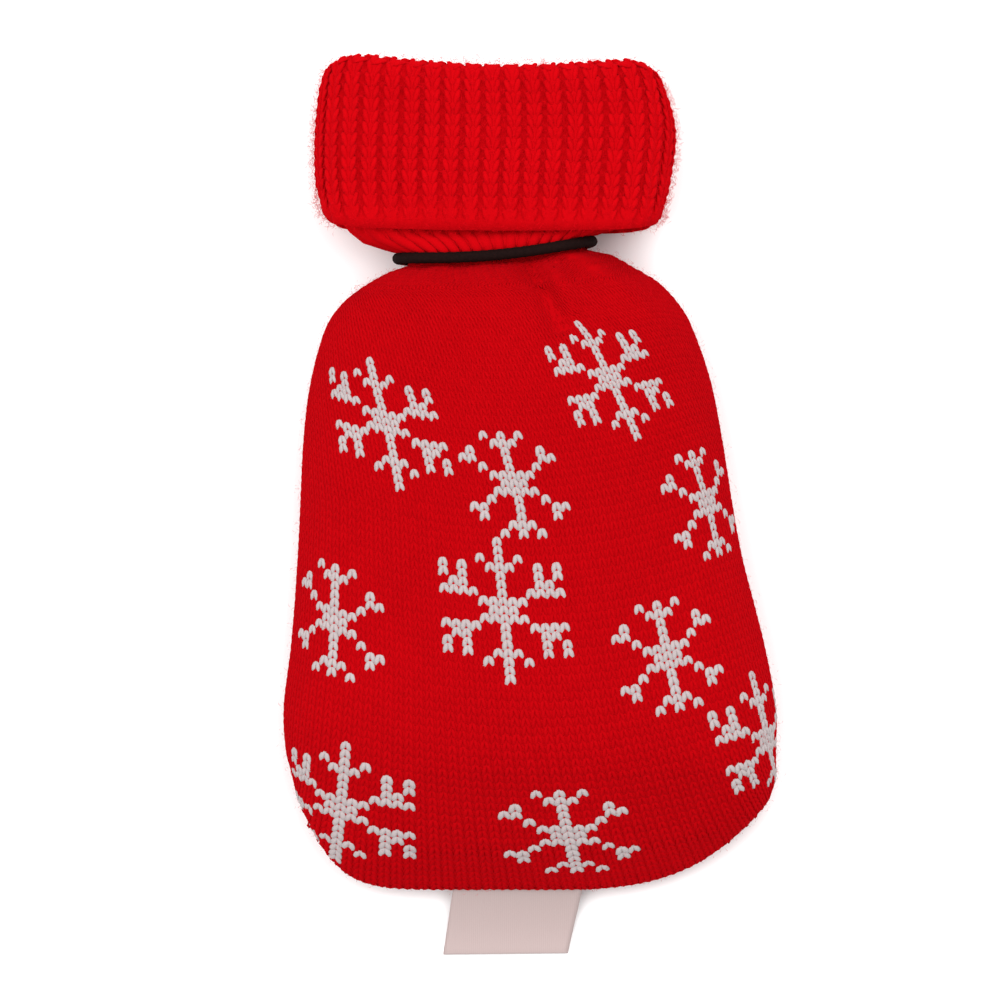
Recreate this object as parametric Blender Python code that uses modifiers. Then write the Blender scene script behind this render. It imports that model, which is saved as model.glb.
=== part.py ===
"""A knitted cover for a pocket-size hot water bottle, lying on its back with its ribbed collar turned down.

X runs across the cover and Y along it, with the collar towards +Y. +Z is up, away from the surface
that the cover lies on. The tables and the named sizes are in millimetres, and the meshes in metres.
"""

import math
from collections import namedtuple

import bmesh
import bpy

MM = 0.001

# Cloth and cord
BAG_WALL = 2.0
COLLAR_CLOTH = 1.4
CORD_DIAMETER = 2.0
CORD_CLEARANCE = 0.45
RIM_GAP = 0.6
RIM_DEPTH = 0.3
LABEL_CLOTH = 1.0

# How finely the cloth is laid out
BAG_COLUMNS = 64
BAG_STEPS_PER_ROW = 2
RIB_COUNT = 40
POINTS_PER_RIB = 4
CORD_POINTS = 44

# The rib's height at the outer layer, and the share of it left on the layer that is turned in
RIB_HEIGHT = 0.4
TURNED_IN_SHARE = 0.45
HEM_SHARE = 0.3
FOLD_DROP = 2.4  # from the outer layer of the collar to the inner one

# How square the ends of a row's line are, seen from above: a high power keeps it level almost to the end
BAG_POWERS = (8.0, 3.4)
COLLAR_POWERS = (16.0, 16.0)

# Gathers that the cord draws in at the neck
GATHER_COUNT = 11
GATHER_DEPTH = 0.4
GATHER_REACH = 8.0

# A row is one closed section of cloth. left and right are the ends of its widest line, seen from above.
# sag_left and sag_right move the row's line off the straight one between them, and dip moves its middle.
# lift is its underside, height the height of its rounded ends, and crown its rise at the middle above them.
Row = namedtuple("Row", "left_x left_y right_x right_y sag_left sag_right dip lift height crown")

NECK = Row(-22.1, 43.9, 9.6, 47.0, 0.0, 0.0, -1.2, 2.5, 12.0, 0.0)

BAG_ROWS = (
    Row(-25.6, 41.7, 14.6, 44.9, 0.0, 0.0, -1.2, 1.4, 14.2, 1.4),
    Row(-28.3, 40.3, 18.5, 42.7, 0.0, 0.0, -1.1, 0.6, 15.2, 3.2),
    Row(-31.9, 37.9, 23.0, 39.9, 0.0, 0.0, -0.7, 0.0, 16.0, 4.8),
    Row(-34.7, 35.1, 27.1, 35.4, 0.0, 0.0, -0.4, 0.0, 16.5, 6.0),
    Row(-37.0, 31.0, 29.4, 31.0, 0.0, 0.0, 0.0, 0.0, 17.0, 7.0),
    Row(-39.3, 22.2, 32.4, 22.2, 0.0, 0.0, 0.0, 0.0, 17.0, 8.6),
    Row(-40.6, 11.6, 34.5, 11.6, 0.0, 0.0, 0.0, 0.0, 17.0, 9.6),
    Row(-41.5, -7.1, 37.6, -7.1, 0.0, 0.0, 0.0, 0.0, 17.0, 10.0),
    Row(-42.7, -24.0, 41.8, -24.0, 0.0, 0.0, 0.0, 0.0, 17.0, 10.0),
    Row(-44.1, -35.6, 44.0, -35.6, 0.0, 0.0, 0.0, 0.0, 17.0, 9.5),
    Row(-43.8, -43.3, 44.1, -44.5, -0.7, -0.7, 0.0, 0.0, 16.0, 9.0),
    Row(-42.9, -47.5, 44.1, -48.6, -3.9, -3.6, 0.0, 0.0, 14.0, 7.5),
    Row(-42.2, -50.7, 43.4, -51.6, -8.9, -8.2, 0.0, 0.3, 11.0, 5.0),
    Row(-41.7, -52.5, 42.7, -53.2, -12.7, -11.8, 0.0, 0.9, 7.8, 2.0),
    Row(-40.9, -53.6, 41.8, -54.3, -14.6, -13.9, 0.0, 1.7, 5.0, 0.0),
)

# The middle of the collar's cloth, from the cord up its inner layer, and down its outer layer to the hem
COLLAR_INNER_ROWS = (
    Row(-28.3, 47.3, 14.6, 50.1, 0.0, 0.0, -1.2, 3.2, 11.2, 0.0),
    Row(-33.5, 52.4, 21.4, 54.0, 0.0, 0.0, 0.0, 3.5, 11.0, 0.0),
)
COLLAR_OUTER_ROWS = (
    Row(-36.6, 76.6, 23.8, 74.2, 2.5, 3.9, -1.8, 1.4, 15.2, 0.8),
    Row(-37.8, 68.6, 25.6, 66.8, 0.9, 1.8, -1.0, 1.1, 15.8, 0.8),
    Row(-37.9, 58.5, 24.6, 57.2, -0.6, -0.4, 0.0, 1.1, 15.8, 0.8),
    Row(-37.0, 51.8, 23.4, 50.9, -2.4, -1.9, -0.7, 1.3, 15.4, 0.8),
)

# Creases on the front of the bag, as a line from its start to its end: rise is under 0 for a groove
Crease = namedtuple("Crease", "start_x start_y end_x end_y width rise")

CREASES = (
    Crease(-5.0, 43.0, 8.0, 16.0, 4.5, -1.7),
    Crease(9.0, 41.0, 22.0, 22.0, 6.0, 1.0),
    Crease(-14.0, 40.0, -24.0, 20.0, 6.0, 0.9),
    Crease(-20.0, -8.0, 6.0, -14.0, 9.0, -0.5),
    Crease(14.0, -30.0, 30.0, -52.0, 8.0, 0.6),
)

# The label, from the seam to its free end
LABEL_TOP = (-13.7, 9.6)
LABEL_END = (-15.5, 6.9)
LABEL_TOP_Y = -68.8
LABEL_END_Y = -80.6
LABEL_TOP_Z = 4.4
LABEL_END_Z = 0.6
LABEL_STEPS = (6, 8)

RED_YARN = (0.52, 0.004, 0.008)
BRIGHT_RED_YARN = (0.6, 0.005, 0.011)
BLACK_CORD = (0.013, 0.008, 0.009)
WHITE_RIBBON = (0.72, 0.62, 0.6)


def clear_scene():
    """Removes whatever the scene holds."""
    for item in list(bpy.data.objects):
        bpy.data.objects.remove(item, do_unlink=True)


def make_material(name, colour, roughness):
    """Returns a plain material for cloth or cord."""
    material = bpy.data.materials.new(name)
    material.use_nodes = True
    surface = material.node_tree.nodes["Principled BSDF"]
    surface.inputs["Base Color"].default_value = (*colour, 1.0)
    surface.inputs["Roughness"].default_value = roughness
    surface.inputs["Metallic"].default_value = 0.0
    return material


def inset(row, by, along=0.0):
    """Returns the row drawn in by a distance all round, and moved along the cover."""
    return row._replace(
        left_x=row.left_x + by,
        right_x=row.right_x - by,
        left_y=row.left_y + along,
        right_y=row.right_y + along,
        lift=row.lift + by,
        height=row.height - 2 * by,
    )


def hug_cord(neck, cloth_distance, direction, turn):
    """Returns the row where cloth has followed the cord for an angle, from the neck's tightest line."""
    outwards = cloth_distance * (1 - math.cos(turn))
    return inset(neck, -outwards, direction * cloth_distance * math.sin(turn))


def flat_tube(share, half_width, height):
    """Returns x, z and the outward direction at a share of the way round a flattened tube.

    The share starts at the middle of its right end and runs over its top.
    """
    radius = height / 2
    straight = 2 * (half_width - radius)
    arc = math.pi * radius
    around = 2 * (straight + arc)
    distance = (share * around - arc / 2) % around
    if distance < straight:
        return straight / 2 - distance, height, 0.0, 1.0
    if distance < straight + arc:
        angle = (distance - straight) / radius
        middle = -straight / 2
    elif distance < 2 * straight + arc:
        return distance - arc - 1.5 * straight, 0.0, 0.0, -1.0
    else:
        angle = (distance - 2 * straight - arc) / radius + math.pi
        middle = straight / 2
    out_x = -math.sin(angle)
    out_z = math.cos(angle)
    return middle + radius * out_x, radius + radius * out_z, out_x, out_z


def row_point(row, share, powers):
    """Returns a point on a row's section, and its outward direction in the section."""
    half_width = (row.right_x - row.left_x) / 2
    x, z, out_x, out_z = flat_tube(share, half_width, row.height)
    across = x / half_width
    rightness = (across + 1) / 2
    power = powers[0] if across < 0 else powers[1]
    sag = row.sag_left + (row.sag_right - row.sag_left) * rightness
    y = row.left_y + (row.right_y - row.left_y) * rightness
    y += sag * (1 - abs(across) ** power) + row.dip * (1 - across**2)
    upper = max(0.0, 2 * z / row.height - 1)
    z += row.lift + row.crown * upper * (1 - across**2)
    return (row.left_x + half_width + x, y, z), (out_x, out_z)


def between(before, start, end, after, share):
    """Returns the row that lies a share of the way from start to end on a smooth curve through all four."""
    values = []
    for a, b, c, d in zip(before, start, end, after):
        bend = (2 * a - 5 * b + 4 * c - d) * share**2 + (3 * b - a - 3 * c + d) * share**3
        values.append(b + 0.5 * ((c - a) * share + bend))
    row = Row(*values)
    return row._replace(lift=max(0.0, row.lift))


def smooth_rows(rows, steps):
    """Returns the rows with further ones between them."""
    made = []
    last = len(rows) - 1
    for index in range(last):
        neighbours = [rows[min(max(index + k, 0), last)] for k in (-1, 0, 1, 2)]
        for step in range(steps):
            made.append(between(*neighbours, step / steps))
    return made + [rows[last]]


def crease_rise(x, y):
    """Returns how far the creases raise the front of the bag at a place."""
    rise = 0.0
    for crease in CREASES:
        run_x = crease.end_x - crease.start_x
        run_y = crease.end_y - crease.start_y
        run = math.hypot(run_x, run_y)
        along = ((x - crease.start_x) * run_x + (y - crease.start_y) * run_y) / run**2
        off = ((x - crease.start_x) * run_y - (y - crease.start_y) * run_x) / run
        fade = max(0.0, 1 - (2 * along - 1) ** 4) if 0 < along < 1 else 0.0
        rise += crease.rise * fade * math.exp(-((off / crease.width) ** 2))
    return rise


def bag_point(row, share):
    """Returns a point on the outside of the bag, with its creases and gathers."""
    (x, y, z), (out_x, out_z) = row_point(row, share, BAG_POWERS)
    gather = GATHER_DEPTH * math.exp(-max(0.0, NECK.left_y - y) / GATHER_REACH)
    wave = gather * (math.cos(math.tau * GATHER_COUNT * share) - 1)
    if out_z > 0:
        z += crease_rise(x, y) * out_z
    return x + wave * out_x, y, z + wave * out_z


def bag_sections():
    """Returns the bag's sections, from the rim under the cord to the seam."""
    reach = CORD_DIAMETER / 2 + CORD_CLEARANCE
    rows = [inset(NECK, 0.0, -RIM_GAP / 2 - along) for along in (0.0, RIM_DEPTH)]
    rows += [hug_cord(NECK, reach, -1, math.radians(angle)) for angle in (40, 75)]
    rows += smooth_rows(BAG_ROWS, BAG_STEPS_PER_ROW)
    shares = [column / BAG_COLUMNS for column in range(BAG_COLUMNS)]
    return [[bag_point(row, share) for share in shares] for row in rows]


def rib_wave(column):
    """Returns 1 on a column at the top of a rib and -1 on one in a furrow."""
    return 1 if column % POINTS_PER_RIB < POINTS_PER_RIB / 2 else -1


def collar_section(row, rib, turn):
    """Returns one section of the collar's cloth, its ribs raised towards the side that shows.

    The turn is 0 on the layer that is turned in, and half a turn on the outer one.
    """
    points = []
    columns = RIB_COUNT * POINTS_PER_RIB
    for column in range(columns):
        (x, y, z), (out_x, out_z) = row_point(row, column / columns, COLLAR_POWERS)
        raised = rib * RIB_HEIGHT * rib_wave(column)
        out = -math.cos(turn) * raised
        points.append((x + out * out_x, y + math.sin(turn) * raised, z + out * out_z))
    return points


def collar_sections():
    """Returns the collar's sections, up its inner layer, over the fold and down to the hem."""
    rim = inset(NECK, COLLAR_CLOTH / 2)
    reach = CORD_DIAMETER / 2 + CORD_CLEARANCE + COLLAR_CLOTH / 2
    sections = []
    for along in (0.0, RIM_DEPTH):
        row = inset(rim, 0.0, RIM_GAP / 2 + along)
        sections.append(collar_section(row, TURNED_IN_SHARE / 4, 0.0))
    for angle in (40, 70):
        row = hug_cord(rim, reach, 1, math.radians(angle))
        sections.append(collar_section(row, TURNED_IN_SHARE / 3, 0.0))
    for row in COLLAR_INNER_ROWS:
        sections.append(collar_section(row, TURNED_IN_SHARE / 2, 0.0))
    top = COLLAR_OUTER_ROWS[0]
    radius = FOLD_DROP / 2
    for angle in (0, 50, 90, 130):
        turn = math.radians(angle)
        row = inset(top, radius * (1 + math.cos(turn)), radius * math.sin(turn))
        rib = TURNED_IN_SHARE + (1 - TURNED_IN_SHARE) * angle / 180
        sections.append(collar_section(row, rib, turn))
    for row in COLLAR_OUTER_ROWS[:-1]:
        sections.append(collar_section(row, 1.0, math.pi))
    sections.append(collar_section(COLLAR_OUTER_ROWS[-1], HEM_SHARE, math.pi))
    return sections


def loft(name, sections, close_end):
    """Returns a mesh object with a band of faces between each section and the next."""
    mesh = bmesh.new()
    rings = [[mesh.verts.new([v * MM for v in point]) for point in section] for section in sections]
    count = len(rings[0])
    for ring, following in zip(rings, rings[1:]):
        for i in range(count):
            j = (i + 1) % count
            mesh.faces.new((ring[i], ring[j], following[j], following[i]))
    if close_end:
        end = rings[-1]
        half = count // 2
        mesh.faces.new((end[0], end[1], end[-1]))
        mesh.faces.new((end[half], end[half + 1], end[half - 1]))
        for i in range(1, half - 1):
            mesh.faces.new((end[i], end[i + 1], end[-i - 1], end[-i]))
    data = bpy.data.meshes.new(name)
    mesh.to_mesh(data)
    mesh.free()
    data.shade_smooth()
    return bpy.data.objects.new(name, data)


def add_cloth(item, thickness, offset):
    """Gives an open surface the thickness of its cloth."""
    cloth = item.modifiers.new("cloth", "SOLIDIFY")
    cloth.thickness = thickness * MM
    cloth.offset = offset


def make_bag():
    """Returns the knitted bag: open at the gathered neck, closed at the seam."""
    bag = loft("bag", bag_sections(), close_end=True)
    add_cloth(bag, BAG_WALL, -1.0)
    bag.data.materials.append(make_material("red_knit", RED_YARN, 0.95))
    return bag


def make_collar():
    """Returns the ribbed collar, turned down over the neck."""
    collar = loft("collar", collar_sections(), close_end=False)
    add_cloth(collar, COLLAR_CLOTH, 0.0)
    collar.data.materials.append(make_material("red_rib", BRIGHT_RED_YARN, 0.95))
    return collar


def make_neck_cord():
    """Returns the elastic cord, a closed loop that lies in the groove between bag and collar."""
    curve = bpy.data.curves.new("neck_cord", "CURVE")
    curve.dimensions = "3D"
    curve.bevel_depth = CORD_DIAMETER / 2 * MM
    curve.bevel_resolution = 2
    route = inset(NECK, -CORD_DIAMETER / 2 - CORD_CLEARANCE)
    spline = curve.splines.new("POLY")
    spline.points.add(CORD_POINTS - 1)
    spline.use_cyclic_u = True
    spline.use_smooth = True
    for index, point in enumerate(spline.points):
        place, _ = row_point(route, index / CORD_POINTS, BAG_POWERS)
        point.co = (*[v * MM for v in place], 1.0)
    cord = bpy.data.objects.new("neck_cord", curve)
    curve.materials.append(make_material("black_elastic", BLACK_CORD, 0.6))
    return cord


def make_label():
    """Returns the label: a ribbon that falls from the seam to the surface."""
    mesh = bmesh.new()
    bmesh.ops.create_grid(mesh, x_segments=LABEL_STEPS[0], y_segments=LABEL_STEPS[1], size=0.5)
    for vertex in mesh.verts:
        across = vertex.co.x + 0.5
        along = 0.5 - vertex.co.y
        left = LABEL_TOP[0] + (LABEL_END[0] - LABEL_TOP[0]) * along
        right = LABEL_TOP[1] + (LABEL_END[1] - LABEL_TOP[1]) * along
        vertex.co.x = (left + (right - left) * across) * MM
        vertex.co.y = (LABEL_TOP_Y + (LABEL_END_Y - LABEL_TOP_Y) * along) * MM
        vertex.co.z = (LABEL_END_Z + (LABEL_TOP_Z - LABEL_END_Z) * (1 - along) ** 2) * MM
    data = bpy.data.meshes.new("label")
    mesh.to_mesh(data)
    mesh.free()
    data.shade_smooth()
    label = bpy.data.objects.new("label", data)
    add_cloth(label, LABEL_CLOTH, 0.0)
    data.materials.append(make_material("white_ribbon", WHITE_RIBBON, 0.7))
    return label


def main():
    """Builds the cover in its own collection."""
    clear_scene()
    collection = bpy.data.collections.new("hot_water_bottle_cover")
    bpy.context.scene.collection.children.link(collection)
    for piece in (make_bag(), make_collar(), make_neck_cord(), make_label()):
        collection.objects.link(piece)


main()
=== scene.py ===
# %% [markdown]
# # A small knitted cover, stitch by stitch
# The cover is a knitted bag with a ribbed roll collar. An elastic cord draws its neck together, and a
# little ribbon label hangs from its bottom seam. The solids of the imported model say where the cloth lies.
# This lesson lays real knitting on them: every stitch is a pair of yarn legs, set by Geometry Nodes.

# %% Load the frame
import math

import bmesh
import bpy
import numpy as np
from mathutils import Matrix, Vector


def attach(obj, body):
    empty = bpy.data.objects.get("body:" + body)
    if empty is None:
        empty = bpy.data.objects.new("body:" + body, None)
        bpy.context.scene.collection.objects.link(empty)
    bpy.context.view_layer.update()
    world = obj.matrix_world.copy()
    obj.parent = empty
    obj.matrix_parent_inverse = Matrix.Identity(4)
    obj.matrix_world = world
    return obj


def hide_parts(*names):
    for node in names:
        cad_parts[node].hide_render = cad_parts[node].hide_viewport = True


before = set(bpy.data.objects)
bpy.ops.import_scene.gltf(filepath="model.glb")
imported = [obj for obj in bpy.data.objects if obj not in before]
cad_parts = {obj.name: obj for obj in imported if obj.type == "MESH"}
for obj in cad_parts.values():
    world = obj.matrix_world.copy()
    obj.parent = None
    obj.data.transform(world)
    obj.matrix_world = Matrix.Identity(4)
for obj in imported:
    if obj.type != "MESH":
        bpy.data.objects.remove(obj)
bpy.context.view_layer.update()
print("nodes:", sorted(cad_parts))

# %% [markdown]
# ## The rows of cloth
# A knitted bag lies like a flat tube that is wide at the bottom and narrow at the neck. It could be sculpted,
# but a stack of closed rows says it more plainly: each row gives the two ends of its widest line, how far
# the line sags, and how high the cloth lies. The numbers are those of the solids, in millimetres.

# %% Rows of the bag and the collar
MM = 0.001
# left_x, left_y, right_x, right_y, sag_left, sag_right, dip, lift, height, crown
NECK = (-22.1, 43.9, 9.6, 47.0, 0.0, 0.0, -1.2, 2.5, 12.0, 0.0)
BAG_ROWS = np.array([
    (-25.6, 41.7, 14.6, 44.9, 0.0, 0.0, -1.2, 1.4, 14.2, 1.4),
    (-28.3, 40.3, 18.5, 42.7, 0.0, 0.0, -1.1, 0.6, 15.2, 3.2),
    (-31.9, 37.9, 23.0, 39.9, 0.0, 0.0, -0.7, 0.0, 16.0, 4.8),
    (-34.7, 35.1, 27.1, 35.4, 0.0, 0.0, -0.4, 0.0, 16.5, 6.0),
    (-37.0, 31.0, 29.4, 31.0, 0.0, 0.0, 0.0, 0.0, 17.0, 7.0),
    (-39.3, 22.2, 32.4, 22.2, 0.0, 0.0, 0.0, 0.0, 17.0, 8.6),
    (-40.6, 11.6, 34.5, 11.6, 0.0, 0.0, 0.0, 0.0, 17.0, 9.6),
    (-41.5, -7.1, 37.6, -7.1, 0.0, 0.0, 0.0, 0.0, 17.0, 10.0),
    (-42.7, -24.0, 41.8, -24.0, 0.0, 0.0, 0.0, 0.0, 17.0, 10.0),
    (-44.1, -35.6, 44.0, -35.6, 0.0, 0.0, 0.0, 0.0, 17.0, 9.5),
    (-43.8, -43.3, 44.1, -44.5, -0.7, -0.7, 0.0, 0.0, 16.0, 9.0),
    (-42.9, -47.5, 44.1, -48.6, -3.9, -3.6, 0.0, 0.0, 14.0, 7.5),
    (-42.2, -50.7, 43.4, -51.6, -8.9, -8.2, 0.0, 0.3, 11.0, 5.0),
    (-41.7, -52.5, 42.7, -53.2, -12.7, -11.8, 0.0, 0.9, 7.8, 2.0),
    (-40.9, -53.6, 41.8, -54.3, -14.6, -13.9, 0.0, 1.7, 5.0, 0.0),
])
SEAM_ROWS = np.array([
    (-40.7, -54.0, 41.6, -54.7, -14.7, -14.0, 0.0, 2.4, 3.4, 0.0),
    (-40.3, -54.2, 41.2, -54.9, -14.8, -14.1, 0.0, 3.3, 1.5, 0.0),
])
COLLAR_INNER_ROWS = np.array([
    (-28.3, 47.3, 14.6, 50.1, 0.0, 0.0, -1.2, 3.2, 11.2, 0.0),
    (-33.5, 52.4, 21.4, 54.0, 0.0, 0.0, 0.0, 3.5, 11.0, 0.0),
])
COLLAR_OUTER_ROWS = np.array([
    (-36.6, 76.6, 23.8, 74.2, 2.5, 3.9, -1.8, 1.4, 15.2, 0.8),
    (-37.8, 68.6, 25.6, 66.8, 0.9, 1.8, -1.0, 1.1, 15.8, 0.8),
    (-37.9, 58.5, 24.6, 57.2, -0.6, -0.4, 0.0, 1.1, 15.8, 0.8),
    (-37.0, 51.8, 23.4, 50.9, -2.4, -1.9, -0.7, 1.3, 15.4, 0.8),
])
BAG_POWERS = (8.0, 3.4)
COLLAR_POWERS = (16.0, 16.0)
CORD_RADIUS = 1.0
CORD_CLEARANCE = 0.45


def inset(row, by, along=0.0):
    """Returns a row drawn in by a distance all round, and moved along the cover."""
    return np.array(row) + np.array([by, along, -by, along, 0, 0, 0, by, -2 * by, 0])


def hug_cord(distance, direction, degrees):
    """Returns the neck's row where cloth has followed the cord for an angle."""
    turn = math.radians(degrees)
    return inset(NECK, distance * (math.cos(turn) - 1), direction * distance * math.sin(turn))


def through_rows(rows, spacing):
    """Returns the rows with further ones between them, on a smooth curve through them all."""
    rows = np.asarray(rows, float)
    made = []
    for index in range(len(rows) - 1):
        a, b, c, d = (rows[min(max(index + k, 0), len(rows) - 1)] for k in (-1, 0, 1, 2))
        steps = max(3, math.ceil(abs(c[1] - b[1]) / spacing))
        for t in np.arange(steps) / steps:
            bend = (2 * a - 5 * b + 4 * c - d) * t**2 + (3 * b - a - 3 * c + d) * t**3
            made.append(b + 0.5 * ((c - a) * t + bend))
    made = np.array(made + [rows[-1]])
    made[:, 7] = np.maximum(made[:, 7], 0.0)
    return made


def row_points(row, share, powers):
    """Returns the points of a row's closed section, and their outward directions across the cover.

    The share starts at the middle of the right end and runs over the top.
    """
    half = (row[2] - row[0]) / 2
    radius = row[8] / 2
    straight = 2 * (half - radius)
    arc = math.pi * radius
    gone = (share * 2 * (straight + arc) - arc / 2) % (2 * (straight + arc))
    on_left = (gone >= straight) & (gone < straight + arc)
    on_right = gone >= 2 * straight + arc
    below = (gone >= straight + arc) & ~on_right
    turn = np.where(on_left, gone - straight, np.where(on_right, gone - straight, 0.0)) / radius
    turn = np.where(on_right, turn - straight / radius, turn)
    turn = np.where(below, math.pi, turn)
    out_x, out_z = -np.sin(turn), np.cos(turn)
    flat_x = np.where(below, gone - arc - 1.5 * straight, straight / 2 - gone)
    x = np.where(on_left, -straight / 2, np.where(on_right, straight / 2, flat_x)) + radius * out_x
    z = radius + radius * out_z
    across = x / half
    right = (across + 1) / 2
    power = np.where(across < 0, powers[0], powers[1])
    y = row[1] + (row[3] - row[1]) * right + row[6] * (1 - across**2)
    y = y + (row[4] + (row[5] - row[4]) * right) * (1 - np.abs(across) ** power)
    z = z + row[7] + row[9] * np.maximum(0.0, 2 * z / row[8] - 1) * (1 - across**2)
    return np.stack([row[0] + half + x, y, z], 1), np.stack([out_x, out_z], 1)


def grid_normals(grid, closed=True):
    """Returns the unit normals of a grid of points, row by row, on the side that faces outwards."""
    along = np.gradient(grid, axis=0)
    if closed:
        across = (np.roll(grid, -1, 1) - np.roll(grid, 1, 1)) / 2
    else:
        across = np.gradient(grid, axis=1)
    normal = np.cross(across, along)
    return normal / np.maximum(np.linalg.norm(normal, axis=2, keepdims=True), 1e-9)


# %% [markdown]
# ## The bag's surface
# The cord gathers the neck, so the cloth runs in small waves there, and a fold with a pleat beside it runs
# down from the cord. The rows become a fine grid of points, on which the ground cloth and every stitch lie.
# The folds could be simulated, but placed one by one they lie where the real ones do.

# %% The bag as a fine grid
# start_x, start_y, end_x, end_y, width, rise
CREASES = (
    (-1.5, 46.5, 6.0, 29.5, 2.2, -2.3),
    (3.4, 43.4, 8.2, 33.5, 2.2, 0.8),
    (12.0, 42.0, 22.0, 22.0, 4.5, 0.9),
    (-14.0, 40.0, -24.0, 20.0, 6.0, 0.9),
    (-20.0, -8.0, 6.0, -14.0, 9.0, -0.5),
    (14.0, -30.0, 30.0, -52.0, 8.0, 0.6),
)
BAG_COLUMNS = 320
GATHERS = 11
GATHER_DEPTH = 0.4
GATHER_FADE = 8.0
ROW_SPACING = 0.9


def crease_rise(x, y):
    """Returns how far the creases raise the front of the bag."""
    rise = np.zeros_like(x)
    for x0, y0, x1, y1, width, height in CREASES:
        run = math.hypot(x1 - x0, y1 - y0)
        along = ((x - x0) * (x1 - x0) + (y - y0) * (y1 - y0)) / run**2
        off = ((x - x0) * (y1 - y0) - (y - y0) * (x1 - x0)) / run
        fade = np.where((along > 0) & (along < 1), 1 - (2 * along - 1) ** 4, 0.0)
        rise += height * fade * np.exp(-((off / width) ** 2))
    return rise


def bag_grid(columns):
    """Returns the outside of the bag as rows of points, opened at the middle of its back."""
    reach = CORD_RADIUS + CORD_CLEARANCE
    rows = [inset(NECK, 0.0, -0.3), inset(NECK, 0.0, -0.6)]
    rows += [hug_cord(reach, -1, angle) for angle in (20, 40, 60, 75)]
    rows = np.concatenate([rows, through_rows(BAG_ROWS, ROW_SPACING), SEAM_ROWS])
    share = (0.75 + np.arange(columns + 1) / columns) % 1.0
    grid = []
    for row in rows:
        points, out = row_points(row, share, BAG_POWERS)
        gather = GATHER_DEPTH * np.exp(-np.maximum(0.0, NECK[1] - points[:, 1]) / GATHER_FADE)
        wave = gather * (np.cos(math.tau * GATHERS * share) - 1)
        rise = crease_rise(points[:, 0], points[:, 1]) * np.maximum(out[:, 1], 0.0)
        points[:, 0] += wave * out[:, 0]
        points[:, 2] += wave * out[:, 1] + rise
        grid.append(points)
    return np.array(grid)


bag = bag_grid(BAG_COLUMNS)
bag_out = grid_normals(bag[:, :-1])
bag_out = np.concatenate([bag_out, bag_out[:, :1]], 1)
print("bag grid:", bag.shape, "from", bag.min((0, 1)).round(1), "to", bag.max((0, 1)).round(1))

# %% [markdown]
# ## Where wales and courses run
# A column of stitches is a wale and a row of stitches is a course. On the real cover the wales fan out from
# the neck towards the lower right, and the courses cross them square. So every point of the grid gets a wale
# number first. A wale is then followed down the bag, and its stitches are set at even steps of its length.

# %% The wale of each point
FAN_Y = np.array([-70.0, -58.0, -40.0, -25.0, 0.0, 12.0, 22.0, 36.0, 50.0])
FAN_X = np.array([-21.4, -21.4, -21.4, -21.4, -22.4, -24.8, -27.6, -31.0, -31.0])
FAN_LEAN = np.array([0.0085, 0.0082, 0.0060, 0.0042, 0.0035, 0.0040, 0.0050, 0.0090, 0.0090])
WALE_PITCH = 1.9
WALE_PITCH_Y = -40.0
WALES_RIGHT = 66
WALES_LEFT = 44
CORNER_Y = -46.0

fine_y = np.linspace(-75.0, 55.0, 1301)
fine_lean = np.interp(fine_y, FAN_Y, FAN_LEAN)
fine_x = np.interp(fine_y, FAN_Y, FAN_X)
grown = np.concatenate([[0.0], np.cumsum((fine_lean[1:] + fine_lean[:-1]) / 2 * np.diff(fine_y))])
fine_pitch = WALE_PITCH * np.exp(np.interp(WALE_PITCH_Y, fine_y, grown) - grown)


def wale_numbers(grid):
    """Returns each point's wale, counted from the line where the wales run straight down."""
    count = grid.shape[1] - 1
    right, left = count // 4, 3 * count // 4
    step = np.hypot(np.diff(grid[:, :, 0], axis=1), np.diff(grid[:, :, 2], axis=1))
    gone = np.concatenate([np.zeros((len(grid), 1)), np.cumsum(step, 1)], 1)
    pitch = np.interp(grid[:, :, 1], fine_y, fine_pitch)
    wales = np.zeros(grid.shape[:2])
    back = [0.0, 0.0]
    for r, row in enumerate(grid):
        line_x = np.interp(row[count // 2, 1], fine_y, fine_x)
        start = np.interp(-line_x, -row[right : left + 1, 0], gone[r, right : left + 1])
        wales[r] = (start - gone[r]) / pitch[r]
        if row[right, 1] > CORNER_Y:
            back[0] = gone[r, right] / (WALES_RIGHT - wales[r, right])
            back[1] = (gone[r, -1] - gone[r, left]) / (WALES_LEFT + wales[r, left])
        wales[r, :right] = WALES_RIGHT - gone[r, :right] / back[0]
        wales[r, left + 1 :] = (gone[r, -1] - gone[r, left + 1 :]) / back[1] - WALES_LEFT
    return wales


wales = wale_numbers(bag)
print("wales across the front:", wales[60, 80].round(1), "to", wales[60, 240].round(1))

# %% Follow each wale and set its stitches
PITCH_Y = (-45.0, 0.0, 22.0, 45.0)
COURSE_PITCH = (1.54, 1.50, 1.40, 1.36)
FIRST_LEVEL = -20.0
COURSE_CURVE = 0.0098
NARROWEST_STITCH = 0.45
TALLEST_STITCH = 3.5


def followed_wales():
    """Returns the wales and their lines down the bag: place, normal, step to the next wale, and side."""
    numbers = np.arange(1 - WALES_LEFT, WALES_RIGHT + 1)
    turn = np.stack([np.gradient(bag[:, :, k], axis=1) for k in range(3)], 2)
    across = turn / np.minimum(np.gradient(wales, axis=1), -1e-6)[:, :, None]
    side = np.zeros(bag.shape[1])
    side[bag.shape[1] // 4 : 3 * bag.shape[1] // 4 + 1] = 1.0
    lines = np.empty((len(numbers), len(bag), 10))
    for r in range(len(bag)):
        values = np.concatenate([bag[r], bag_out[r], across[r], side[:, None]], 1)[::-1]
        lines[:, r] = np.stack([np.interp(numbers, wales[r, ::-1], values[:, k]) for k in range(10)], 1)
    return numbers, lines


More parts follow.
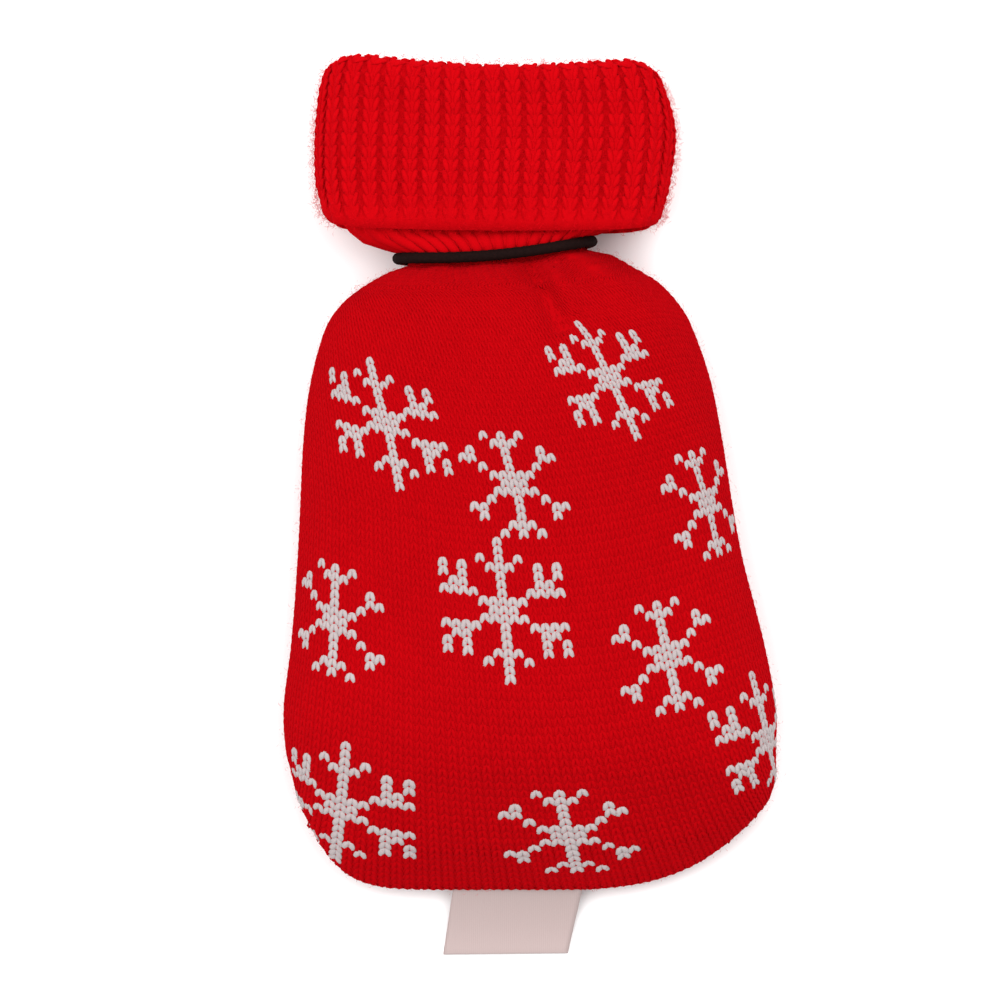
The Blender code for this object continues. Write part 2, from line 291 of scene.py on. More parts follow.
def course_numbers(places):
    """Returns the course of each place on a wale. They are counted from one that hangs like a shallow bow."""
    step = np.linalg.norm(np.diff(places, axis=0), axis=1)
    pitch = np.interp((places[1:, 1] + places[:-1, 1]) / 2, PITCH_Y, COURSE_PITCH)
    gone = np.concatenate([[0.0], np.cumsum(step / pitch + 1e-6)])
    level = places[:, 1] - COURSE_CURVE * places[:, 0] ** 2 / 2
    near = np.abs(places[:, 1] + 15.0) < 30.0
    return gone - np.interp(-FIRST_LEVEL, -level[near], gone[near])


def set_courses(numbers, lines):
    """Returns the stitches: wale and course, place, normal, step across, side, and step along."""
    found = []
    for wale, line in zip(numbers, lines):
        course = course_numbers(line[:, :3])
        along = np.gradient(line[:, :3], course, axis=0)
        whole = np.arange(math.ceil(course[0]), math.floor(course[-1]) + 1)
        values = np.concatenate([line, along], 1)
        row = np.stack([np.interp(whole, course, values[:, k]) for k in range(13)], 1)
        found.append(np.concatenate([np.full((len(whole), 1), wale), whole[:, None], row], 1))
    return np.concatenate(found)


stitches = set_courses(*followed_wales())
numbers = stitches[:, :2].astype(int)
place, normal, across, along = (stitches[:, k : k + 3] for k in (2, 5, 8, 12))
is_front = stitches[:, 11] > 0.5
normal = normal / np.linalg.norm(normal, axis=1, keepdims=True)
height = np.linalg.norm(along, axis=1)
width = np.linalg.norm(np.cross(across, along), axis=1) / height
kept = (width > NARROWEST_STITCH) & (height < TALLEST_STITCH)
numbers, place, normal, along = (v[kept] for v in (numbers, place, normal, along))
width, height, is_front = (v[kept] for v in (width, height, is_front))
print("stitches on the bag:", len(place))
print("stitch widths:", np.percentile(width, (1, 50, 99)).round(2))
print("stitch heights:", np.percentile(height, (1, 50, 99)).round(2))

# %% [markdown]
# ## The snowflakes
# They are knitted in, so each is a small chart of whole stitches, as a knitter would draw it on squared
# paper. A chart is placed by the spot where its middle lies. It follows the wales and the courses from there.

# %% Charts of the two snowflakes
SMALL_FLAKE = (
    "...#.#.#...",
    "....###....",
    ".#...#...#.",
    "##...#...##",
    "..#..#..#..",
    "...#####...",
    "....###....",
    "...#####...",
    "..#..#..#..",
    "##...#...##",
    ".#...#...#.",
    "....###....",
    "...#.#.#...",
)
LARGE_FLAKE = (
    "......#......",
    "......#......",
    "....#.#.#....",
    "#.#..###..#.#",
    "#.#...#...#.#",
    ".##...#...##.",
    "####..#..####",
    "....#####....",
    ".....###.....",
    "....#####....",
    "####..#..####",
    ".##...#...##.",
    "#.#...#...#.#",
    "#.#..###..#.#",
    "....#.#.#....",
    "......#......",
    "......#......",
)
FRONT_FLAKES = (
    (24.9, -26.7, SMALL_FLAKE),
    (7.1, -58.7, SMALL_FLAKE),
    (31.2, 0.4, SMALL_FLAKE),
    (-35.2, -20.8, SMALL_FLAKE),
    (-32.9, -53.4, LARGE_FLAKE),
    (13.4, 22.6, LARGE_FLAKE),
    (42.0, -41.0, LARGE_FLAKE),
    (-3.9, -17.8, LARGE_FLAKE),
    (-26.0, 14.0, LARGE_FLAKE),
    (-3.5, 3.5, SMALL_FLAKE),
)
BACK_FLAKES = (
    (-22.0, 22.0, LARGE_FLAKE),
    (12.0, 8.0, SMALL_FLAKE),
    (-6.0, -14.0, LARGE_FLAKE),
    (26.0, -24.0, SMALL_FLAKE),
    (-30.0, -36.0, SMALL_FLAKE),
    (6.0, -48.0, LARGE_FLAKE),
)


def white_stitches():
    """Returns which stitches are white: those under the charts."""
    white = np.zeros(len(place), bool)
    for front, flakes in ((True, FRONT_FLAKES), (False, BACK_FLAKES)):
        side = np.flatnonzero(is_front == front)
        for x, y, chart in flakes:
            middle = side[np.hypot(place[side, 0] - x, place[side, 1] - y).argmin()]
            wale, course = numbers[middle] - (len(chart[0]) // 2, len(chart) // 2)
            for row, line in enumerate(chart):
                for column, mark in enumerate(line):
                    if mark == "#":
                        white |= (numbers[:, 0] == wale + column) & (numbers[:, 1] == course + row)
    return white


white = white_stitches()
print("white stitches:", int(white.sum()))

# %% [markdown]
# ## Yarn
# The yarn is soft acrylic with a fine nap. Its fibres catch light at a grazing angle, which the sheen gives,
# and no two stitches take the dye quite alike, which a tone for each one gives. A node group mixes the tone
# with fine and broad noise, so that the red, the white and the ribbed yarn share one recipe.

# %% The yarn's colour and its fine fibres, as one shader group
def link(tree, source, target):
    """Joins two sockets of a node tree."""
    tree.links.new(source, target)


def add_sockets(tree, direction, sockets):
    """Gives a node group its inputs or outputs, each with a name and a type."""
    for name, kind in sockets:
        tree.interface.new_socket(name, in_out=direction, socket_type="NodeSocket" + kind)


def yarn_group():
    """Returns the group that turns a yarn's two colours into its dyed colour and its fibres' height."""
    group = bpy.data.node_groups.new("yarn_dye", "ShaderNodeTree")
    add_sockets(group, "INPUT", (("Deep", "Color"), ("Bright", "Color"), ("Fibre Scale", "Float")))
    add_sockets(group, "OUTPUT", (("Colour", "Color"), ("Fibres", "Float")))
    node = group.nodes.new
    given, result = node("NodeGroupInput"), node("NodeGroupOutput")
    place_node = node("ShaderNodeTexCoord")
    fine, broad, tone = node("ShaderNodeTexNoise"), node("ShaderNodeTexNoise"), node("ShaderNodeAttribute")
    tone.attribute_name = "tone"
    link(group, place_node.outputs["Object"], fine.inputs["Vector"])
    link(group, place_node.outputs["Object"], broad.inputs["Vector"])
    link(group, given.outputs["Fibre Scale"], fine.inputs["Scale"])
    fine.inputs["Detail"].default_value = 3.0
    broad.inputs["Scale"].default_value = 60.0
    fibre_part, broad_part, total = (node("ShaderNodeMath") for _ in range(3))
    for part in (fibre_part, broad_part, total):
        part.operation = "MULTIPLY_ADD"
    link(group, fine.outputs["Fac"], fibre_part.inputs[0])
    fibre_part.inputs[1].default_value = 0.7
    fibre_part.inputs[2].default_value = -0.1
    link(group, broad.outputs["Fac"], broad_part.inputs[0])
    broad_part.inputs[1].default_value = 0.5
    link(group, fibre_part.outputs[0], broad_part.inputs[2])
    link(group, tone.outputs["Fac"], total.inputs[0])
    total.inputs[1].default_value = 0.35
    link(group, broad_part.outputs[0], total.inputs[2])
    mix = node("ShaderNodeMix")
    mix.data_type = "RGBA"
    link(group, total.outputs[0], mix.inputs["Factor"])
    link(group, given.outputs["Deep"], mix.inputs["A"])
    link(group, given.outputs["Bright"], mix.inputs["B"])
    link(group, mix.outputs["Result"], result.inputs["Colour"])
    link(group, fine.outputs["Fac"], result.inputs["Fibres"])
    return group


yarn_dye = yarn_group()


def new_material(name, roughness):
    """Returns a new material, its node tree and its surface node."""
    material = bpy.data.materials.new(name)
    material.use_nodes = True
    surface = material.node_tree.nodes["Principled BSDF"]
    surface.inputs["Roughness"].default_value = roughness
    return material, material.node_tree, surface


def yarn(name, deep, bright, sheen, sheen_tint, fibre_scale=4200.0, bump=0.5):
    """Returns a yarn's material."""
    material, tree, surface = new_material(name, 1.0)
    surface.inputs["Specular IOR Level"].default_value = 0.0
    surface.inputs["Sheen Weight"].default_value = sheen
    surface.inputs["Sheen Roughness"].default_value = 0.5
    surface.inputs["Sheen Tint"].default_value = (*sheen_tint, 1.0)
    dye = tree.nodes.new("ShaderNodeGroup")
    dye.node_tree = yarn_dye
    dye.inputs["Deep"].default_value = (*deep, 1.0)
    dye.inputs["Bright"].default_value = (*bright, 1.0)
    dye.inputs["Fibre Scale"].default_value = fibre_scale
    relief = tree.nodes.new("ShaderNodeBump")
    relief.inputs["Strength"].default_value = bump
    relief.inputs["Distance"].default_value = 0.00015
    link(tree, dye.outputs["Colour"], surface.inputs["Base Color"])
    link(tree, dye.outputs["Fibres"], relief.inputs["Height"])
    link(tree, relief.outputs["Normal"], surface.inputs["Normal"])
    return material


RED_SHEEN = (1.0, 0.03, 0.05)
red_yarn = yarn("red_yarn", (0.30, 0.0009, 0.0024), (0.37, 0.0012, 0.0030), 0.12, RED_SHEEN)
rib_yarn = yarn("rib_yarn", (0.37, 0.0011, 0.0028), (0.46, 0.0015, 0.0037), 0.15, RED_SHEEN)
# The white yarn is white with a faint pink cast, painted in for red light bounced from the red stitches round
# it.
white_yarn_painted_pink_bounce = yarn("white_yarn_painted_pink_bounce", (0.34, 0.288, 0.288), (0.40, 0.348, 0.348), 0.08, (1.0, 0.90, 0.90))
# The ground yarn is the red yarn painted a little lighter, to offset the shade that falls between the legs.
ground_yarn_painted_lighter = yarn("ground_yarn_painted_lighter", (0.32, 0.0010, 0.0026), (0.39, 0.0013, 0.0032), 0.10, RED_SHEEN)
rib_ground_yarn = yarn("rib_ground_yarn", (0.39, 0.0012, 0.0030), (0.44, 0.0015, 0.0037), 0.12, RED_SHEEN)
fuzz_yarn = yarn("fuzz_yarn", (0.38, 0.0014, 0.0036), (0.56, 0.0030, 0.0075), 0.0, RED_SHEEN, bump=0.0)
print("yarns:", [m.name for m in (red_yarn, rib_yarn, white_yarn_painted_pink_bounce, ground_yarn_painted_lighter, rib_ground_yarn, fuzz_yarn)])

# %% [markdown]
# ## One stitch
# A knit stitch shows two legs of yarn that lean together into a V. Each leg rises out of the cloth, bulges,
# and dives behind the next stitch. There are thousands of them, so a leg has only three rings of four to six
# sides. Red legs are steep and slim and run into each other as columns. White ones are fuller.

# %% The stitch that is repeated
SNOW_PATH = np.array([
    (0.04, -1.20, -0.24),
    (0.22, -0.72, 0.04),
    (0.46, 0.05, 0.14),
    (0.67, 0.78, 0.00),
    (0.80, 1.25, -0.34),
])
PLAIN_PATH = np.array([
    (0.06, -1.30, -0.10),
    (0.22, -0.80, 0.08),
    (0.42, 0.00, 0.13),
    (0.60, 0.85, 0.06),
    (0.70, 1.40, -0.14),
])
PLAIN_RADII = (0.38, 0.44, 0.40)
SNOW_RADII = (0.44, 0.56, 0.48)
RIB_PATH = np.array([
    (0.12, -1.55, -0.30),
    (0.45, -0.92, 0.00),
    (0.80, 0.05, 0.12),
    (1.08, 0.92, -0.04),
    (1.20, 1.50, -0.38),
])
RIB_RADII = (0.43, 0.54, 0.46)
STITCH_WIDTH = 1.80
STITCH_HEIGHT = 1.50
LEG_DEPTH = 0.60


def object_from(mesh, name, smooth=True):
    """Turns the mesh that was built into an object, which isn't in the scene yet."""
    data = bpy.data.meshes.new(name)
    mesh.to_mesh(data)
    mesh.free()
    if smooth:
        data.shade_smooth()
    return bpy.data.objects.new(name, data)


def stitch_mesh(name, path, radii, sides):
    """Returns one V of two legs as an object of its own, a stand-in that the node tree repeats."""
    mesh = bmesh.new()
    for side in (-1, 1):
        rings = []
        for index in (1, 2, 3):
            centre = path[index]
            run = path[index + 1] - path[index - 1]
            run = run / np.linalg.norm(run)
            flat = np.cross(run, (0, 0, 1))
            flat = flat / np.linalg.norm(flat)
            up = np.cross(flat, run)
            ring = []
            for k in range(sides):
                turn = math.tau * (k + 0.5) / sides
                spoke = flat * math.cos(turn) + up * LEG_DEPTH * math.sin(turn)
                point = centre + radii[index - 1] * spoke
                ring.append(mesh.verts.new((side * point[0] * MM, point[1] * MM, point[2] * MM)))
            rings.append(ring)
        start, end = (mesh.verts.new((side * x * MM, y * MM, z * MM)) for x, y, z in (path[0], path[4]))
        for k in range(sides):
            n = (k + 1) % sides
            faces = [(start, rings[0][n], rings[0][k]), (end, rings[2][k], rings[2][n])]
            faces += [(rings[i][k], rings[i][n], rings[i + 1][n], rings[i + 1][k]) for i in (0, 1)]
            for face in faces:
                mesh.faces.new(face)
    bmesh.ops.recalc_face_normals(mesh, faces=mesh.faces)
    return object_from(mesh, name)


def triangles(item):
    """Returns how many triangles an object's mesh has."""
    return sum(len(p.vertices) - 2 for p in item.data.polygons)


snow_stitch = stitch_mesh("snow_stitch_shape", SNOW_PATH, SNOW_RADII, 5)
plain_stitch = stitch_mesh("plain_stitch_shape", PLAIN_PATH, PLAIN_RADII, 4)
rib_stitch = stitch_mesh("rib_stitch_shape", RIB_PATH, RIB_RADII, 6)
print("triangles in a stitch:", triangles(snow_stitch), triangles(plain_stitch), triangles(rib_stitch))

# %% [markdown]
# ## Laying the stitches with Geometry Nodes
# Each stitch is a point that carries its directions, its size and its tone. The tree sets a stitch on every
# point, turns and scales it, and shakes its size a little, because hand and machine never pull alike.

# %% The tree that sets a shape on every point
def shape_tree():
    """Returns the node tree that repeats a shape on the points of a mesh."""
    tree = bpy.data.node_groups.new("set_on_points", "GeometryNodeTree")
    add_sockets(tree, "INPUT", (("Geometry", "Geometry"), ("Shape", "Object"), ("Smallest", "Float")))
    add_sockets(tree, "INPUT", (("Largest", "Float"), ("Seed", "Int"), ("Finish", "Material")))
    add_sockets(tree, "OUTPUT", (("Geometry", "Geometry"),))
    node = tree.nodes.new
    given, result = node("NodeGroupInput"), node("NodeGroupOutput")
    shape, placed = node("GeometryNodeObjectInfo"), node("GeometryNodeInstanceOnPoints")
    link(tree, given.outputs["Shape"], shape.inputs["Object"])
    link(tree, given.outputs["Geometry"], placed.inputs["Points"])
    link(tree, shape.outputs["Geometry"], placed.inputs["Instance"])
    turn = node("FunctionNodeAxesToRotation")
    turn.primary_axis = "Z"
    turn.secondary_axis = "Y"
    named = {}
    for name in ("out", "up", "size"):
        named[name] = node("GeometryNodeInputNamedAttribute")
        named[name].data_type = "FLOAT_VECTOR"
        named[name].inputs["Name"].default_value = name
    link(tree, named["out"].outputs["Attribute"], turn.inputs["Primary Axis"])
    link(tree, named["up"].outputs["Attribute"], turn.inputs["Secondary Axis"])
    link(tree, turn.outputs["Rotation"], placed.inputs["Rotation"])
    chance, scale = node("FunctionNodeRandomValue"), node("ShaderNodeVectorMath")
    chance.data_type = "FLOAT"
    link(tree, given.outputs["Smallest"], chance.inputs[2])
    link(tree, given.outputs["Largest"], chance.inputs[3])
    link(tree, given.outputs["Seed"], chance.inputs["Seed"])
    scale.operation = "SCALE"
    link(tree, named["size"].outputs["Attribute"], scale.inputs[0])
    link(tree, chance.outputs[1], scale.inputs["Scale"])
    link(tree, scale.outputs["Vector"], placed.inputs["Scale"])
    real, finish = node("GeometryNodeRealizeInstances"), node("GeometryNodeSetMaterial")
    link(tree, placed.outputs["Instances"], real.inputs["Geometry"])
    link(tree, real.outputs["Geometry"], finish.inputs["Geometry"])
    link(tree, given.outputs["Finish"], finish.inputs["Material"])
    link(tree, finish.outputs["Geometry"], result.inputs["Geometry"])
    return tree


set_on_points = shape_tree()


def show(item):
    """Puts an object in the scene."""
    bpy.context.scene.collection.objects.link(item)
    return item


def plain_copy(item):
    """Turns an object and its modifiers into a plain mesh of the same name, and returns it."""
    show(item)
    graph = bpy.context.evaluated_depsgraph_get()
    mesh = bpy.data.meshes.new_from_object(item.evaluated_get(graph), depsgraph=graph)
    item.modifiers.clear()
    item.data = mesh
    return item


def set_shapes(name, shape, points, out, up, size, tone, finish, seed, variation=0.05):
    """Returns a piece with the shape on every point; points are in millimetres."""
    mesh = bpy.data.meshes.new(name)
    mesh.from_pydata((points * MM).tolist(), [], [])
    for label, values in (("out", out), ("up", up), ("size", size)):
        attribute = mesh.attributes.new(label, "FLOAT_VECTOR", "POINT")
        attribute.data.foreach_set("vector", np.asarray(values, np.float32).ravel())
    attribute = mesh.attributes.new("tone", "FLOAT", "POINT")
    attribute.data.foreach_set("value", np.asarray(tone, np.float32))
    piece = bpy.data.objects.new(name, mesh)
    layer = piece.modifiers.new("stitches", "NODES")
    layer.node_group = set_on_points
    values = {
        "Shape": shape,
        "Smallest": 1 - variation,
        "Largest": 1 + variation,
        "Seed": seed,
        "Finish": finish,
    }
    for socket in set_on_points.interface.items_tree:
        if socket.in_out == "INPUT" and socket.name in values:
            layer[socket.identifier] = values[socket.name]
    plain_copy(piece)
    for label in ("out", "up", "size"):
        old = piece.data.attributes.get(label)
        if old is not None:
            piece.data.attributes.remove(old)
    return piece


# %% Lay the bag's stitches
STITCH_SINK = 0.50
MIDDLE_Y = -14.0
random = np.random.default_rng(7)
tones = random.random(len(place))
sizes = np.stack([width / STITCH_WIDTH, height / STITCH_HEIGHT, np.ones(len(place))], 1)
lying = place - normal * STITCH_SINK
is_upper = place[:, 1] > MIDDLE_Y
groups = {
    "front_stitches_upper": is_front & ~white & is_upper,
    "front_stitches_lower": is_front & ~white & ~is_upper,
    "back_stitches_upper": ~is_front & ~white & is_upper,
    "back_stitches_lower": ~is_front & ~white & ~is_upper,
    "snowflake_stitches": white,
}
bag_stitches = []
for seed, (name, chosen) in enumerate(groups.items()):
    finish, shape = (white_yarn_painted_pink_bounce, snow_stitch) if chosen is white else (red_yarn, plain_stitch)
    laid = (v[chosen] for v in (lying, normal, along, sizes, tones))
    piece = set_shapes(name, shape, *laid, finish, seed)
    bag_stitches.append(piece)
    print(name, int(chosen.sum()), "stitches,", triangles(piece), "triangles")

# %% [markdown]
# ## The bottom seam
# Front and back end in one edge, which is closed by a chain of stitches that runs along it from corner to
# corner. The chain is the same V, turned on its side, at even steps of the edge's length.

# %% Lay the chain along the bottom edge
SEAM_STEP = 1.55
SEAM_SINK = 0.55
SEAM_STITCH = (1.25, SEAM_STEP / STITCH_HEIGHT, 1.2)
EDGE_POINTS = 3000


def seam_chain():
    """Returns the stitches of the seam: place, outward direction, direction along, and size."""
    edge = row_points(SEAM_ROWS[-1], np.linspace(0.0, 0.5, EDGE_POINTS), BAG_POWERS)[0]
    edge[:, 2] = SEAM_ROWS[-1, 7] + SEAM_ROWS[-1, 8] / 2
    gone = np.concatenate([[0.0], np.cumsum(np.linalg.norm(np.diff(edge, axis=0), axis=1))])
    at = np.arange(SEAM_STEP / 2, gone[-1], SEAM_STEP)
    line = np.stack([np.interp(at, gone, edge[:, k]) for k in range(3)], 1)
    ahead = np.gradient(line, axis=0)
    ahead /= np.linalg.norm(ahead, axis=1, keepdims=True)
    out = np.stack([-ahead[:, 1], ahead[:, 0], np.zeros(len(at))], 1)
    return line - SEAM_SINK * out, out, -ahead, np.tile(SEAM_STITCH, (len(at), 1))


chain_place, chain_out, chain_up, chain_size = seam_chain()
seam_tones = np.random.default_rng(5).random(len(chain_place))
bottom_seam = set_shapes(
    "bottom_seam", snow_stitch, chain_place, chain_out, chain_up, chain_size, seam_tones, red_yarn, 31
)
print("seam stitches:", len(chain_place))

# %% [markdown]
# ## The cloth behind the stitches
# Between the legs one sees into the cloth. A thin sheet of the same red yarn lies just under the stitches, on
# every second point of the grid, and gets its thickness from Solidify. Its red is painted a little lighter
# than the stitches' red, to offset the shade that falls between the legs. It keeps the bag's own shape:
# hollow, open at the neck and closed at the seam.

# %% The bag's ground cloth
def sheet_from_grid(name, grid, closed, finish, thickness, end_cap=False):
    """Returns a sheet on a grid of points in millimetres. Solidify gives it its thickness, inwards."""
    columns = grid.shape[1]
    mesh = bmesh.new()
    points = [[mesh.verts.new(point * MM) for point in row] for row in grid]
    for upper, lower in zip(points, points[1:]):
        for k in range(columns if closed else columns - 1):
            n = (k + 1) % columns
            mesh.faces.new((upper[k], upper[n], lower[n], lower[k]))
    if end_cap:
        end = points[-1][columns // 4 :] + points[-1][: columns // 4]
        for k in range(columns // 2):
            mesh.faces.new(list(dict.fromkeys((end[k], end[k + 1], end[-k - 1], end[-k]))))
    sheet = object_from(mesh, name)
    wall = sheet.modifiers.new("thickness", "SOLIDIFY")
    wall.thickness = thickness * MM
    wall.offset = -1.0
    sheet.data.materials.append(finish)
    return show(sheet)


GROUND_SINK = 0.32
ground = (bag - bag_out * GROUND_SINK)[::2, :-1:2]
if (len(bag) - 1) % 2:
    ground = np.concatenate([ground, (bag - bag_out * GROUND_SINK)[-1:, :-1:2]])
bag_cloth = sheet_from_grid("bag_cloth", ground, True, ground_yarn_painted_lighter, 1.0, end_cap=True)
print("ground cloth:", len(bag_cloth.data.polygons), "faces")

# %% [markdown]
# ## The ribbed collar
# A 1x1 rib is a column of knit stitches, then a column that sinks behind it. The collar is one long tube
# of rib, folded once, so its cloth is a path: up inside the mouth, over the fold, and down to the hem. The
# cloth carries the relief of the ribs, and V stitches are set on it outside and in the mouth.

# %% The collar's grid, from the cord up the inside and down the outside
RIBS = 40
RIB_COLUMNS = 10
RIB_PHASE = 0.1
CLOTH = 1.4
FOLD_RADIUS = 1.2


def collar_rows():
    """Returns the rows that the middle of the collar's cloth runs through."""
    reach = CORD_RADIUS + CORD_CLEARANCE + CLOTH / 2
    rim = inset(NECK, CLOTH / 2)
    rows = [inset(rim, 0.0, 0.3), inset(rim, 0.0, 0.6)]
    for angle in (40, 70):
        turn = math.radians(angle)
        rows.append(inset(rim, reach * (math.cos(turn) - 1), reach * math.sin(turn)))
    rows += list(COLLAR_INNER_ROWS)
    for angle in (0, 30, 60, 90, 120, 150):
        turn = math.radians(angle)
        by, along = FOLD_RADIUS * (1 + math.cos(turn)), FOLD_RADIUS * math.sin(turn)
        rows.append(inset(COLLAR_OUTER_ROWS[0], by, along))
    return np.array(rows + list(COLLAR_OUTER_ROWS))


def along_columns(grid, count):
    """Returns the grid with its columns run through at even steps of their length, on smooth curves."""
    step = np.linalg.norm(np.diff(grid, axis=0), axis=2).mean(1)
    gone = np.concatenate([[0.0], np.cumsum(step)])
    at = np.linspace(0.0, gone[-1], count)
    slope = np.gradient(grid, gone, axis=0)
    index = np.clip(np.searchsorted(gone, at) - 1, 0, len(gone) - 2)
    length = (gone[index + 1] - gone[index])[:, None, None]
    t = ((at - gone[index])[:, None, None]) / length
    a, b, m, n = grid[index], grid[index + 1], slope[index] * length, slope[index + 1] * length
    ends = a * (2 * t**3 - 3 * t**2 + 1) + b * (3 * t**2 - 2 * t**3)
    return ends + m * (t**3 - 2 * t**2 + t) + n * (t**3 - t**2), gone[-1]


def collar_grid(columns, count):
    """Returns the middle of the collar's cloth on evenly shared columns, and its length from rim to hem."""
    share = np.arange(columns) / columns
    sections = [row_points(row, share, COLLAR_POWERS)[0] for row in collar_rows()]
    return along_columns(np.array(sections), count)


COLLAR_COURSES = 33
COURSE_ROWS = 4
collar, collar_length = collar_grid(RIBS * RIB_COLUMNS, COURSE_ROWS * COLLAR_COURSES + 1)
collar_out = grid_normals(collar)
share = np.arange(collar.shape[1]) / collar.shape[1]
print("collar grid:", collar.shape, "cloth from rim to hem:", round(float(collar_length), 1), "mm")

# %% The collar's ground cloth and its ribs
RELIEF_DOWN = (0.0, 0.3, 0.42, 0.52, 0.62, 0.88, 0.95, 1.0)
RELIEF = (0.7, 0.5, 0.08, 0.30, 0.9, 1.0, 0.80, 0.40)
RIB_DEPTH = 0.36
RIB_HEIGHT = 1.95
CLOTH_SINK = 0.22
FOLD_ROWS = 7
FOLD_SINK = 0.30
HEM_SINK = 0.22
HEM_START = 0.90
OUTER_RISE = -0.28
INNER_RISE = 0.72
down = np.linspace(0.0, 1.0, len(collar))[:, None]
relief = RIB_DEPTH * np.interp(down[:, 0], RELIEF_DOWN, RELIEF)[:, None]
wave = 1 - 2 * np.abs(np.sin(math.pi * (RIBS * share - RIB_PHASE))) ** 5
rib_ground = collar + collar_out * (relief * wave - CLOTH_SINK)[:, :, None]
fold_row = int(collar[:, :, 1].mean(1).argmax())
rows_kept = [i for i in range(len(collar)) if i % COURSE_ROWS == 0 or abs(i - fold_row) < FOLD_ROWS]
collar_cloth = sheet_from_grid("collar_cloth", rib_ground[rows_kept], True, rib_ground_yarn, 0.8)
print("collar cloth:", len(collar_cloth.data.polygons), "faces")


def rib_columns(first, rows, face, rise):
    """Returns the stitches of every rib on one face of the cloth: place, normal, direction up, and size."""
    columns = RIB_COLUMNS * np.arange(RIBS) + first
    sunk = FOLD_SINK * np.exp(-(((np.arange(len(collar)) - fold_row) / 5.0) ** 2))[:, None]
    sunk = sunk + HEM_SINK * np.clip((down - HEM_START) / 0.08, 0.0, 1.0)
    lifted = (collar + collar_out * (face * (relief * 0.9 + rise - sunk))[:, :, None])[:, columns]
    up = -np.gradient(lifted, axis=0)[rows].reshape(-1, 3) * COURSE_ROWS
    tall = np.linalg.norm(up, axis=1) / RIB_HEIGHT
    low = np.interp(down[rows, 0], (HEM_START, 0.985), (1.0, 0.5)).repeat(RIBS)
    size = np.stack([np.ones(len(up)), tall, low], 1)
    out = (face * collar_out[:, columns])[rows].reshape(-1, 3)
    return lifted[rows].reshape(-1, 3), out, up, size


outer_rows = np.arange(fold_row - 18, COURSE_ROWS * COLLAR_COURSES - 3, COURSE_ROWS)
inner_rows = np.arange(29, fold_row - 8, COURSE_ROWS)
outer = rib_columns(1, outer_rows, 1, OUTER_RISE)
inner = rib_columns(6, inner_rows, -1, INNER_RISE)
rib_place, rib_normal, rib_up, rib_sizes = (np.concatenate(pair) for pair in zip(outer, inner))
rib_tones = random.random(len(rib_place))
rib_stitches = set_shapes(
    "rib_stitches", rib_stitch, rib_place, rib_normal, rib_up, rib_sizes, rib_tones, rib_yarn, 11
)
print("rib stitches:", len(rib_place), "with", triangles(rib_stitches), "triangles")

# %% [markdown]
# ## Fuzz
# Acrylic yarn sheds a halo of fine fibres, most of all on the brushed collar. Hair would be one way to make
# it. A bent strand with three sides is another, for which the same tree serves: it sets thousands of them,
# each with a direction and a length of its own.

# %% The fibre and its scatter
FIBRE_PATH = np.array([(0.0, 0.0, -0.1), (0.12, 0.60, 0.42), (-0.10, 1.30, 0.50)])
FIBRE_RADIUS = 0.036
NAP_CLEARANCE = 2.2
FIBRE_JITTER = 0.45
FIBRE_TILT = 0.35


def fibre_mesh():
    """Returns one bent strand that rises from the cloth and lies over."""
    mesh = bmesh.new()
    start, end = (mesh.verts.new(FIBRE_PATH[i] * MM) for i in (0, 2))
    turns = [math.tau * k / 3 for k in range(3)]
    points = [FIBRE_PATH[1] + FIBRE_RADIUS * np.array((math.cos(t), 0.0, math.sin(t))) for t in turns]
    ring = [mesh.verts.new(point * MM) for point in points]
    for k in range(3):
        n = (k + 1) % 3
        mesh.faces.new((start, ring[n], ring[k]))
        mesh.faces.new((end, ring[k], ring[n]))
    bmesh.ops.recalc_face_normals(mesh, faces=mesh.faces)
    return object_from(mesh, "fibre_shape", smooth=False)


fibre = fibre_mesh()


def scatter_fibres(name, points, normals, count, finish, shortest, longest, seed):
    """Returns a piece with fibres on some of the points that are clear of the table, in every direction."""
    clear = np.flatnonzero(points[:, 2] > NAP_CLEARANCE)
    chosen = clear[random.integers(0, len(clear), count)]
    jitter = random.normal(0.0, FIBRE_JITTER, (count, 3))
    out = normals[chosen] + random.normal(0.0, FIBRE_TILT, (count, 3))
    up = np.cross(out, random.normal(0.0, 1.0, (count, 3)))
    size = np.repeat(random.uniform(shortest, longest, (count, 1)), 3, 1)
    size[:, 0] *= random.choice((-1.0, 1.0), count)
    tones = random.random(count)
    return set_shapes(name, fibre, points[chosen] + jitter, out, up, size, tones, finish, seed, 0.1)


COLLAR_FIBRES = 22000
BAG_FIBRES = 12000
ROOT_HEIGHT = 0.3
nap = [*range(2, 24), *range(fold_row - 6, len(collar))]
napped = (collar + collar_out * ROOT_HEIGHT)[nap].reshape(-1, 3)
nap_out = collar_out[nap].reshape(-1, 3)
collar_fuzz = scatter_fibres("collar_fuzz", napped, nap_out, COLLAR_FIBRES, fuzz_yarn, 0.40, 1.00, 21)
bag_roots = place - ROOT_HEIGHT * normal
bag_fuzz = scatter_fibres("bag_fuzz", bag_roots, normal, BAG_FIBRES, fuzz_yarn, 0.35, 0.75, 22)
print("fibres:", [triangles(piece) for piece in (collar_fuzz, bag_fuzz)], "triangles")

# %% [markdown]
# ## The elastic cord
# The cord is a round braided elastic. It is a tube swept round the neck. Two sets of strands that wind in
# opposite directions raise its surface, which gives the small lozenges of a braid.

# %% The cord
CORD_STEPS = 420
CORD_SIDES = 20
STRANDS = 4
BRAID_LENGTH = 3.0


